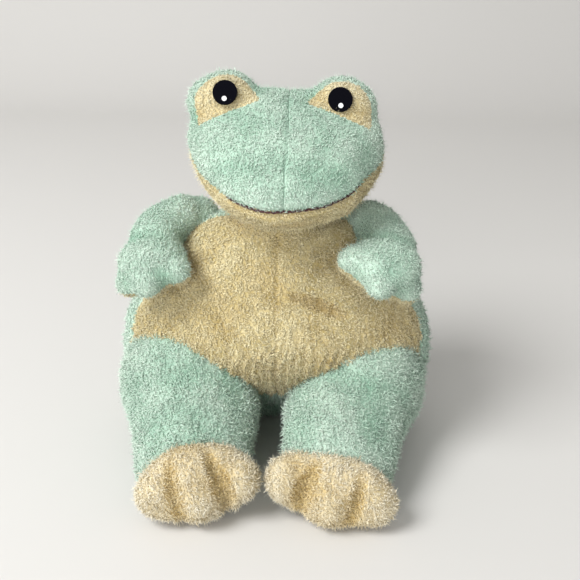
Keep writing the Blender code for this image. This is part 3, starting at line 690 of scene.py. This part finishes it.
def mesh_of(name, points, faces, values, material):
    mesh = bpy.data.meshes.new(name)
    mesh.vertices.add(len(points))
    mesh.vertices.foreach_set("co", np.ascontiguousarray(points, np.float32).ravel())
    mesh.loops.add(faces.size)
    mesh.loops.foreach_set("vertex_index", np.ascontiguousarray(faces, np.int32).ravel())
    mesh.polygons.add(len(faces))
    mesh.polygons.foreach_set("loop_start", np.arange(0, faces.size, 3, dtype=np.int32))
    mesh.update(calc_edges=True)
    mesh.shade_smooth()
    for attribute, numbers in values.items():
        layer = mesh.attributes.new(attribute, "FLOAT", "POINT")
        layer.data.foreach_set("value", np.ascontiguousarray(numbers, np.float32))
    mesh.materials.append(material)
    mesh.validate()
    return new_object(name, mesh)


# Materials


def new_material(name):
    made = bpy.data.materials.new(name)
    made.use_nodes = True
    nodes = made.node_tree.nodes
    return made, nodes, made.node_tree.links, nodes["Principled BSDF"]


def set_inputs(node, values):
    for name, value in values.items():
        node.inputs[name].default_value = value


def spread(nodes, links, source, known, wanted):
    """A value moved from its known range to the wanted one."""
    made = nodes.new("ShaderNodeMapRange")
    set_inputs(made, {"From Min": known[0], "From Max": known[1]})
    set_inputs(made, {"To Min": wanted[0], "To Max": wanted[1]})
    links.new(source, made.inputs["Value"])
    return made.outputs["Result"]


def noise(nodes, links, source, scale, detail, reach):
    """Noise over the object, from minus its reach to its reach."""
    made = nodes.new("ShaderNodeTexNoise")
    set_inputs(made, {"Scale": scale, "Detail": detail})
    links.new(source, made.inputs["Vector"])
    return spread(nodes, links, made.outputs["Fac"], NOISE_RANGE, (-reach, reach))


def added(nodes, links, *values):
    total = values[0]
    for value in values[1:]:
        step = nodes.new("ShaderNodeMath")
        links.new(total, step.inputs[0])
        links.new(value, step.inputs[1])
        total = step.outputs["Value"]
    return total


def ramp(nodes, links, source, low, high):
    made = nodes.new("ShaderNodeValToRGB")
    made.color_ramp.elements[0].color = (*low, 1)
    made.color_ramp.elements[1].color = (*high, 1)
    links.new(source, made.inputs["Fac"])
    return made.outputs["Color"]


def mixed(nodes, links, factor, even, deep):
    made = nodes.new("ShaderNodeMix")
    made.data_type = "RGBA"
    links.new(factor, made.inputs["Factor"])
    links.new(even, made.inputs[MIX_EVEN_INPUT])
    links.new(deep, made.inputs[MIX_FOLD_SHADE_INPUT])
    return made.outputs[MIX_OUTPUT]


def roughened(nodes, links, shader, height, values):
    bump = nodes.new("ShaderNodeBump")
    set_inputs(bump, values)
    links.new(height, bump.inputs["Height"])
    links.new(bump.outputs["Normal"], shader.inputs["Normal"])


def attribute(nodes, name):
    made = nodes.new("ShaderNodeAttribute")
    made.attribute_name = name
    return made.outputs["Fac"]


def plush(name, colours):
    """Curly pile: darker at its roots and in its cracks as painted shade, pale at its tips, darker
    and richer in its folds as painted shade, a little mottled.
    """
    made, nodes, links, shader = new_material(name)
    set_inputs(shader, PLUSH_SHINE)
    place_out = nodes.new("ShaderNodeTexCoord").outputs["Object"]
    grain = noise(nodes, links, place_out, *GRAIN)
    blotches = noise(nodes, links, place_out, *BLOTCHES)
    height = added(nodes, links, attribute(nodes, "shade"), grain, blotches)
    even = ramp(nodes, links, height, colours[0], colours[1])
    # The darker, richer colours of the painted shade in folds
    deep = ramp(nodes, links, height, colours[2], colours[3])
    stains = noise(nodes, links, place_out, *STAINS)
    fold = added(nodes, links, attribute(nodes, "fold"), stains)
    # Painted shade in folds, spread unevenly by the stains
    fold_shading = spread(nodes, links, fold, FOLD_SHADING_RANGE, (0, 1))
    links.new(mixed(nodes, links, fold_shading, even, deep), shader.inputs["Base Color"])
    roughened(nodes, links, shader, grain, PLUSH_BUMP)
    return made


def thread_material(name, colour, shine):
    """Embroidery thread, with the fine lines of its stitches."""
    made, nodes, links, shader = new_material(name)
    set_inputs(shader, shine)
    place_out = nodes.new("ShaderNodeTexCoord").outputs["Object"]
    lines = nodes.new("ShaderNodeTexWave")
    lines.bands_direction = "X"
    set_inputs(lines, STITCHES)
    links.new(place_out, lines.inputs["Vector"])
    light = [min(1.0, part * STITCH_LIGHTENING) for part in colour]
    links.new(ramp(nodes, links, lines.outputs["Fac"], colour, light), shader.inputs["Base Color"])
    roughened(nodes, links, shader, lines.outputs["Fac"], STITCH_BUMP)
    return made


# Forms


def torso_form():
    rings = []
    for height, width, front, back in TORSO_RING_SHARES:
        rings.append(
            ring(
                place(0, TORSO_Y, height * TORSO_HEIGHT),
                OUTWARD_X,
                FORWARD,
                width * TORSO_WIDTH / 2,
                front * TORSO_DEPTH / 2,
                back * TORSO_DEPTH / 2,
            )
        )
    neck = lobe("neck", place(0, NECK_Y, NECK_HEIGHT), (NECK_RADIUS,) * 3)
    pieces = [loft("torso", rings), neck]
    for sign in SIDES.values():
        slope = place(sign * SLOPE_X, SLOPE_Y, SLOPE_HEIGHT)
        pieces.append(lobe("slope", slope, SLOPE_HALF_SIZES))
    skin = lumpy(fused("torso_form", pieces, BODY_SOFTENING), BODY_LUMP_DEPTH)
    skin = pressed(skin, furrows(skin))
    above = [(across, up + BELLY_PUFF_RISE) for across, up in BELLY_FOLD_PATH]
    skin = grooved(skin, from_path(skin, above), BELLY_PUFF_WIDTH, BELLY_PUFF_DEPTH)
    for depth, fold in BELLY_FOLDS:
        skin = grooved(skin, from_path(skin, fold), BELLY_FOLD_WIDTH, depth)
    return grooved(skin, from_plane(skin, MIDDLE, OUTWARD_X), SEAM_WIDTH, SEAM_DEPTH)


def belly_seam():
    """The plane between back and belly, which leans back as it rises."""
    lean = math.radians(BELLY_SEAM_LEAN_DEG)
    ahead = Vector((0, -math.cos(lean), math.sin(lean)))
    return place(0, BELLY_SEAM_Y, BELLY_SEAM_HEIGHT), ahead


def furrows(skin):
    """The wavy upright furrows of a soft belly, which fade out towards the chest and the back."""
    x, _, z = (skin.points - np.array(MIDDLE)).T
    sway = FURROW_SWAY * swirl(skin.points, LUMP_WANDER)
    waves = np.sin(2 * math.pi * x / FURROW_SPACING + sway)
    low = np.clip((FURROW_TOP - z) / (FURROW_TOP / FURROW_FADE_SHARE), 0, 1)
    return np.where(skin.normals[:, 1] < 0, FURROW_DEPTH * waves * low, 0)


def head_roll():
    return Matrix.Rotation(math.radians(HEAD_ROLL_DEG), 4, "Y")


def on_head(x, y, z):
    """A place on the upright head, moved to where the tipped head has it."""
    pivot = Vector((HEAD_X, HEAD_Y, HEAD_BASE))
    return MIDDLE + pivot + head_roll() @ (Vector((x, y, z)) - pivot)


def eye_point(side):
    return on_head(EYES_X + SIDES[side] * EYE_SPACING / 2, EYE_Y, EYE_HEIGHT)


def head_seam():
    """The plane of the seam down the middle of the tipped head."""
    return on_head(HEAD_X, HEAD_Y, HEAD_BASE), head_roll() @ OUTWARD_X


def head_form():
    rings = []
    for height, width, front, back in HEAD_RING_SHARES:
        points = ring(
            Vector((HEAD_X, HEAD_Y, HEAD_BASE + height * HEAD_HEIGHT)),
            OUTWARD_X,
            FORWARD,
            width * HEAD_WIDTH / 2,
            front * HEAD_FRONT,
            back * HEAD_BACK,
        )
        rings.append([on_head(*point) for point in points])
    bumps = []
    for side, sign in SIDES.items():
        centre = eye_point(side) + OUTWARD_X * sign * EYE_FLARE / 2
        bumps.append(lobe("bump", centre, (EYE_RADIUS + EYE_FLARE / 2, EYE_RADIUS, EYE_RADIUS)))
    skin = lumpy(fused("head_form", [loft("head", rings), *bumps], HEAD_SOFTENING))
    point, normal = mouth_plane()
    front = (skin.points[:, 1] < MIDDLE.y + HEAD_Y) & (skin.normals[:, 1] < 0)
    distances = np.where(front, from_plane(skin, point, normal), np.inf)
    skin = grooved(skin, distances, MOUTH_WIDTH, MOUTH_DEPTH)
    for fold in CHIN_FOLDS:
        skin = grooved(skin, from_path(skin, fold), CHIN_FOLD_WIDTH, CHIN_FOLD_DEPTH)
    return grooved(skin, from_plane(skin, *head_seam()), SEAM_WIDTH, SEAM_DEPTH)


def path_rings(centres, radii):
    """Round rings that follow a bent line."""
    rings = []
    for i, (centre, radius) in enumerate(zip(centres, radii)):
        ahead = centres[min(i + 1, len(centres) - 1)] - centres[max(i - 1, 0)]
        across = ahead.cross(UP).normalized()
        rise = across.cross(ahead).normalized()
        rings.append(ring(centre, across, rise, radius, radius, radius))
    return rings


def arm_form(side):
    shoulder = shoulder_point(side)
    line = [shoulder + from_shares(side, step, ARM_LENGTH) for step in ARM_LINE_SHARES[side]]
    palm = shoulder + from_shares(side, PALM_PLACE_SHARES[side], ARM_LENGTH)
    pieces = [
        loft("arm", path_rings(line, SLEEVE_RADII)),
        lobe("shoulder", shoulder, (ARM_RADIUS,) * 3),
        lobe("palm", palm, (PALM_WIDTH / 2, PALM_WIDTH / 2, PALM_THICKNESS / 2)),
    ]
    for way in FINGER_WAY_SHARES[side]:
        ahead = from_shares(side, way, 1).normalized()
        turn = OUTWARD_X.rotation_difference(ahead).to_matrix()
        centre = palm + ahead * (PALM_WIDTH - FINGER_LENGTH / 2) / 2
        sizes = (FINGER_LENGTH / 2, FINGER_RADIUS, FINGER_RADIUS)
        pieces.append(lobe("finger", centre, sizes, turn))
    return lumpy(fused(f"arm_form_{side}", pieces, ARM_SOFTENING))


def ankle_point(side):
    hip = hip_point(side)
    inwards = -OUTWARD_X * SIDES[side] * ANKLE_IN_SHARE[side] * LEG_LENGTH
    return Vector((hip.x, hip.y - LEG_LENGTH, ANKLE_HEIGHT / 2)) + inwards


def leg_form(side):
    hip, ankle = hip_point(side), ankle_point(side)
    root = HIP_RADIUS[side]
    rings = []
    for share in LEG_RING_SHARES:
        width = root + (ANKLE_WIDTH / 2 - root) * share
        height = root + (ANKLE_HEIGHT / 2 - root) * share
        rings.append(ring(hip.lerp(ankle, share), OUTWARD_X, UP, width, height, height))
    pieces = [loft("leg", rings), lobe("hip", hip, (root,) * 3)]
    return lumpy(fused(f"leg_form_{side}", pieces, LEG_SOFTENING))


def foot_turn(side):
    """How a foot points inwards or outwards, without its roll."""
    return Matrix.Rotation(math.radians(-SIDES[side] * TOE_TURN_DEG), 3, "Z")


def foot_axes(side):
    return foot_turn(side) @ Matrix.Rotation(math.radians(SIDES[side] * FOOT_ROLL_DEG), 3, "Y")


def foot_middle(side):
    heel_x = hip_point(side).x - SIDES[side] * FOOT_IN_SHARE[side] * LEG_LENGTH
    return Vector((heel_x, ankle_point(side).y - FOOT_LENGTH / 4, FOOT_HEIGHT[side] / 2))


def toe_row(side, step):
    """How far across the foot a toe, or a gap between two toes, lies."""
    across = foot_axes(side) @ OUTWARD_X * SIDES[side]
    return foot_middle(side) + across * step * (FOOT_WIDTH[side] / 2 - TOE_RADIUS)


def toe(side, step, length_share, drop_share):
    spread_out = math.radians(step * TOE_SPREAD_DEG)
    sideways = SIDES[side] * math.sin(spread_out)
    ahead = foot_axes(side) @ Vector((sideways, -math.cos(spread_out), 0))
    length = TOE_LENGTH * length_share
    centre = toe_row(side, step) + ahead * (length - TOE_RADIUS) / 2
    centre = centre - UP * drop_share * FOOT_HEIGHT[side]
    axes = OUTWARD_X.rotation_difference(ahead).to_matrix()
    return lobe("toe", centre, (length / 2, TOE_RADIUS, TOE_RADIUS + CLOTH), axes)


def toe_web(side):
    """What fills the foot between its toes, low down."""
    wide, deep, high = TOE_FILL_SHARES
    height = FOOT_HEIGHT[side] * high / 2
    centre = foot_middle(side) + foot_axes(side) @ FORWARD * TOE_LENGTH / 4
    centre.z = height
    sizes = (FOOT_WIDTH[side] * wide, TOE_LENGTH * deep / 2, height)
    return lobe("web", centre, sizes, foot_turn(side))


def toe_creased(skin, side):
    """A foot's skin with the creases between its toes, which fade out at the heel and sole."""
    middle, forward = np.array(foot_middle(side)), np.array(foot_axes(side) @ FORWARD)
    for step, depth in TOE_CREASES:
        spread_out = math.radians(step * TOE_SPREAD_DEG)
        sideways = SIDES[side] * math.sin(spread_out)
        aside = foot_axes(side) @ Vector((math.cos(spread_out), sideways, 0))
        distances = from_plane(skin, toe_row(side, step), aside)
        crease = np.exp(-((distances / TOE_CREASE_WIDTH) ** 2))
        ahead = np.clip((skin.points - middle) @ forward / TOE_CREASE_START, 0, 1)
        above_sole = np.clip(skin.points[:, 2] / SOLE_HEIGHT, 0, 1)
        skin = pressed(skin, depth * crease * (ahead * above_sole))
    return skin


def foot_form(side):
    half_sizes = (FOOT_WIDTH[side] / 2, FOOT_LENGTH / 2 + CLOTH, FOOT_HEIGHT[side] / 2)
    pieces = [lobe("foot", foot_middle(side), half_sizes, foot_axes(side))]
    pieces += [toe(side, *shares) for shares in TOE_SHARES]
    pieces.append(toe_web(side))
    return toe_creased(lumpy(fused(f"foot_form_{side}", pieces, FOOT_SOFTENING)), side)


# Rules that cut forms into panels


def below(point, normal):
    """Holds for points on the far side of a plane from its normal."""
    point, normal = np.array(point), np.array(normal)
    return lambda points: (points - point) @ normal < 0


def mouth_plane():
    tilt = math.radians(MOUTH_TILT_DEG)
    point = place(HEAD_X, HEAD_Y - HEAD_FRONT, MOUTH_HEIGHT)
    return point, Vector((0, -math.sin(tilt), math.cos(tilt)))


def eye_way(side):
    """Where an eye looks: forwards, up and a little out."""
    lift, out = math.radians(EYES_UP_DEG), math.radians(EYES_OUT_DEG)
    ahead = Vector((SIDES[side] * math.sin(out), -math.cos(lift) * math.cos(out), math.sin(lift)))
    return ahead.normalized()


def in_patch(side):
    """Holds in the eye's patch: round above, and straight below where it falls outwards."""
    way = eye_way(side)
    rise = (UP - way * UP.dot(way)).normalized()
    front = eye_point(side) + way * EYE_RADIUS
    fall = math.radians(PATCH_EDGE_DEG)
    above = rise * math.cos(fall) + rise.cross(way) * SIDES[side] * math.sin(fall)
    under = below(front - above * PATCH_EDGE_DROP[side], above)
    inside = in_ball(front - rise * PATCH_DROP, PATCH_RADIUS)
    return lambda points: inside(points) & ~under(points)


def in_ball(centre, radius):
    centre = np.array(centre)
    return lambda points: np.linalg.norm(points - centre, axis=1) < radius


# Pieces


def node_middle(name):
    lower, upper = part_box(name)
    return (lower + upper) / 2


def plush_piece(piece, body, slot, *nodes):
    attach(piece, body)
    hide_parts(*nodes)


def build_torso():
    skin = pressed(torso_form(), PILE_SINK)
    behind = below(*belly_seam())
    back = piled(skin, "body_back", behind, BACK_PILE, MINT_PLUSH, "back")
    plush_piece(back, "torso", "mint_plush", "back_panel", "body_filling", "seat_pellets")
    for side, sign in SIDES.items():

        def in_front(points):
            return ~behind(points) & (points[:, 0] * sign >= 0)

        front = piled(skin, f"body_belly_{side}", in_front, BELLY_PILE, YELLOW_PLUSH, "belly")
        plush_piece(front, "torso", "yellow_plush", f"belly_panel_{side}")


def build_head():
    skin = pressed(head_form(), PILE_SINK)
    under_mouth = below(*mouth_plane())
    ear = MIDDLE.y + JAW_BACK_Y
    patches = {side: in_patch(side) for side in SIDES}
    pupils = [in_ball(node_middle(f"pupil_{side}"), PUPIL_BARE) for side in SIDES]
    seam, across = (np.array(part) for part in head_seam())

    def jaw(points):
        return under_mouth(points) & (points[:, 1] < ear)

    def crown(side):
        def rule(points):
            half = (points - seam) @ across * SIDES[side] >= 0
            return half & ~jaw(points) & ~patches[side](points)

        return rule

    def bare(points):
        return pupils[0](points) | pupils[1](points)

    chin = piled(skin, "head_jaw", jaw, PATCH_PILE, YELLOW_PLUSH, "jaw")
    plush_piece(chin, "head", "yellow_plush", "jaw_panel", "head_filling", "neck_filling")
    for side in SIDES:
        name = f"head_top_{side}"
        top = piled(skin, name, crown(side), FACE_PILE, MINT_PLUSH, "crown", bare)
        plush_piece(top, "head", "mint_plush", f"head_crown_{side}")
        name = f"eye_surround_{side}"
        eye = piled(skin, name, patches[side], PATCH_PILE, PALE_PLUSH, "patch", bare)
        plush_piece(eye, "head", "yellow_plush", f"eye_patch_{side}")
    build_mouth(skin)


def build_mouth(skin):
    """The mouth's thread, laid in its groove and swaying a little from stitch to stitch."""
    point, normal = mouth_plane()
    back = normal.cross(OUTWARD_X)
    tree = BVHTree.FromPolygons(skin.points.tolist(), skin.triangles.tolist())
    places = []
    for step in range(MOUTH_POINTS):
        share = step / (MOUTH_POINTS - 1)
        across = share * MOUTH_REACH["left"] - (1 - share) * MOUTH_REACH["right"]
        start = point + OUTWARD_X * across - back * HEAD_FRONT
        sway = normal * MOUTH_SWAY * math.sin(MOUTH_SWAY_STEP * step)
        found = tree.ray_cast(start + sway, back)[0]
        places.append(found - back * MOUTH_THREAD_RADIUS)
    curve = bpy.data.curves.new("mouth", "CURVE")
    curve.dimensions = "3D"
    curve.bevel_depth = MOUTH_THREAD_RADIUS
    curve.bevel_resolution = MOUTH_THREAD_ROUNDNESS
    curve.use_fill_caps = True
    spline = curve.splines.new("POLY")
    spline.points.add(len(places) - 1)
    for knot, spot in zip(spline.points, places):
        knot.co = (*spot, 1)
    mouth = bake_curve("mouth_thread", curve)
    mouth.data.materials.append(MOUTH_THREAD)
    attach(mouth, "head")
    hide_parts("mouth_stitching")


def bake_curve(name, curve):
    made = new_object(name, curve)
    bpy.context.view_layer.update()
    seen = made.evaluated_get(bpy.context.evaluated_depsgraph_get())
    mesh = bpy.data.meshes.new_from_object(seen)
    remove(made)
    return new_object(name, mesh)


def build_arm(side):
    skin = pressed(arm_form(side), PILE_SINK)
    along = from_shares(side, PALM_PLACE_SHARES[side], ARM_LENGTH)
    rise = from_shares(side, PAW_RISE_SHARES, 1)
    under = below(shoulder_point(side) + along - UP * UNDERSIDE_DROP, rise)
    past = below(shoulder_point(side) + along * CUFF_SHARE, -along)

    def underside(points):
        return under(points) & past(points)

    def upper(points):
        return ~underside(points)

    body = f"{side}_arm"
    top = piled(skin, f"arm_plush_{side}", upper, ARM_PILE, MINT_PLUSH, "sleeve")
    plush_piece(top, body, "mint_plush", f"arm_top_{side}", f"arm_filling_{side}")
    pad = piled(skin, f"arm_pad_{side}", underside, ARM_PILE, YELLOW_PLUSH, "pad")
    plush_piece(pad, body, "yellow_plush", f"arm_under_{side}")


def off_floor(points):
    return points[:, 2] > 0


def above_sole_seam(points):
    return points[:, 2] >= SOLE_HEIGHT


def under_sole_seam(points):
    return points[:, 2] < SOLE_HEIGHT


def build_leg(side):
    body = f"{side}_leg"
    skin = on_floor(pressed(leg_form(side), PILE_SINK))
    whole = piled(skin, f"leg_plush_{side}", off_floor, LEG_PILE, MINT_PLUSH, "leg")
    plush_piece(whole, body, "mint_plush", f"leg_{side}", f"leg_filling_{side}")
    skin = on_floor(pressed(foot_form(side), PILE_SINK))
    top = piled(skin, f"foot_plush_{side}", above_sole_seam, FOOT_PILE, CREAM_PLUSH, "foot")
    plush_piece(top, body, "cream_plush", f"foot_top_{side}", f"foot_filling_{side}")
    sole = piled(skin, f"foot_base_{side}", under_sole_seam, FOOT_PILE, CREAM_PLUSH, "sole")
    plush_piece(sole, body, "cream_plush", f"foot_sole_{side}")


def dress_nodes():
    """The embroidered eyes keep their solids and get their thread."""
    for side in SIDES:
        FRAME["nodes"][f"pupil_{side}"].data.materials[0] = PUPIL_THREAD
        FRAME["nodes"][f"glint_{side}"].data.materials[0] = GLINT_THREAD


# Stage


def build_camera():
    data = bpy.data.cameras.new("camera")
    data.lens = CAMERA_LENS_MM
    camera = new_object("camera", data)
    target = MIDDLE + CAMERA_TARGET
    rise = math.radians(CAMERA_ELEVATION_DEG)
    place_at = target + Vector((0, -math.cos(rise), math.sin(rise))) * CAMERA_DISTANCE
    look = (target - place_at).to_track_quat("-Z", "Y").to_matrix().to_4x4()
    roll = Matrix.Rotation(math.radians(CAMERA_ROLL_DEG), 4, "Z")
    camera.matrix_world = Matrix.Translation(place_at) @ look @ roll
    bpy.context.scene.camera = camera


def area_light(name, at, size, power):
    data = bpy.data.lights.new(name, "AREA")
    data.shape = "DISK"
    data.size = size
    data.energy = power
    light = new_object(name, data)
    at = MIDDLE + Vector(at)
    way = (MIDDLE + CAMERA_TARGET - at).to_track_quat("-Z", "Y").to_matrix().to_4x4()
    light.matrix_world = Matrix.Translation(at) @ way


def build_floor():
    """A pale floor that curves up into a backdrop."""
    bm = bmesh.new()
    profile = [(-STAGE_REACH, 0.0), (STAGE_DEPTH, 0.0)]
    for step in range(1, STAGE_STEPS + 1):
        angle = math.radians(90 * step / STAGE_STEPS)
        out = STAGE_CURVE * math.sin(angle)
        profile.append((STAGE_DEPTH + out, STAGE_CURVE * (1 - math.cos(angle))))
    profile.append((STAGE_DEPTH + STAGE_CURVE, STAGE_HEIGHT))
    rows = [[bm.verts.new((x, y, z)) for x in (-STAGE_REACH, STAGE_REACH)] for y, z in profile]
    for near, away in zip(rows, rows[1:]):
        bm.faces.new((near[0], near[1], away[1], away[0]))
    floor = from_bmesh("floor", bm)
    floor.data.shade_smooth()
    paper, _, _, shader = new_material("paper")
    set_inputs(shader, {"Base Color": (*PAPER, 1), **PAPER_SHINE})
    floor.data.materials.append(paper)


def build_light():
    world = bpy.data.worlds.new("studio")
    world.use_nodes = True
    background = world.node_tree.nodes["Background"]
    set_inputs(background, {"Color": (*SKY, 1), "Strength": AMBIENT})
    bpy.context.scene.world = world
    area_light("key", KEY_AT, KEY_SIZE, KEY_POWER)
    area_light("fill", FILL_AT, FILL_SIZE, FILL_POWER)


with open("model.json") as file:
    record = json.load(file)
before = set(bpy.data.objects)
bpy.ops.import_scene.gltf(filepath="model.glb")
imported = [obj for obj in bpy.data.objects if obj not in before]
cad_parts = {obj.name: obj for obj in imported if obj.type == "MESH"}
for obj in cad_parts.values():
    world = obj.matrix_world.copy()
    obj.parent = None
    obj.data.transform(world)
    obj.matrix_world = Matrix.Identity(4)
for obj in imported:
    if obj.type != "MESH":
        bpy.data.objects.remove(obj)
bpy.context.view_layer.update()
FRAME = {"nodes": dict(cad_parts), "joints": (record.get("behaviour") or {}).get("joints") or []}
MIDDLE = Vector((0, joint_place("neck_turn").y - NECK_Y, 0))
bpy.context.scene.view_settings.view_transform = "Standard"
MINT_PLUSH = plush("mint_pile", MINT)
YELLOW_PLUSH = plush("yellow_pile", YELLOW)
PALE_PLUSH = plush("pale_pile", PALE)
CREAM_PLUSH = plush("cream_pile", CREAM)
PUPIL_THREAD = thread_material("pupil_thread", BLACK, PUPIL_SHINE)
GLINT_THREAD = thread_material("glint_thread", GLINT, GLINT_SHINE)
MOUTH_THREAD = thread_material("mouth_thread", MAROON, MOUTH_SHINE)
build_camera()
build_torso()
build_head()
for SIDE in SIDES:
    build_arm(SIDE)
    build_leg(SIDE)
dress_nodes()
build_floor()
build_light()
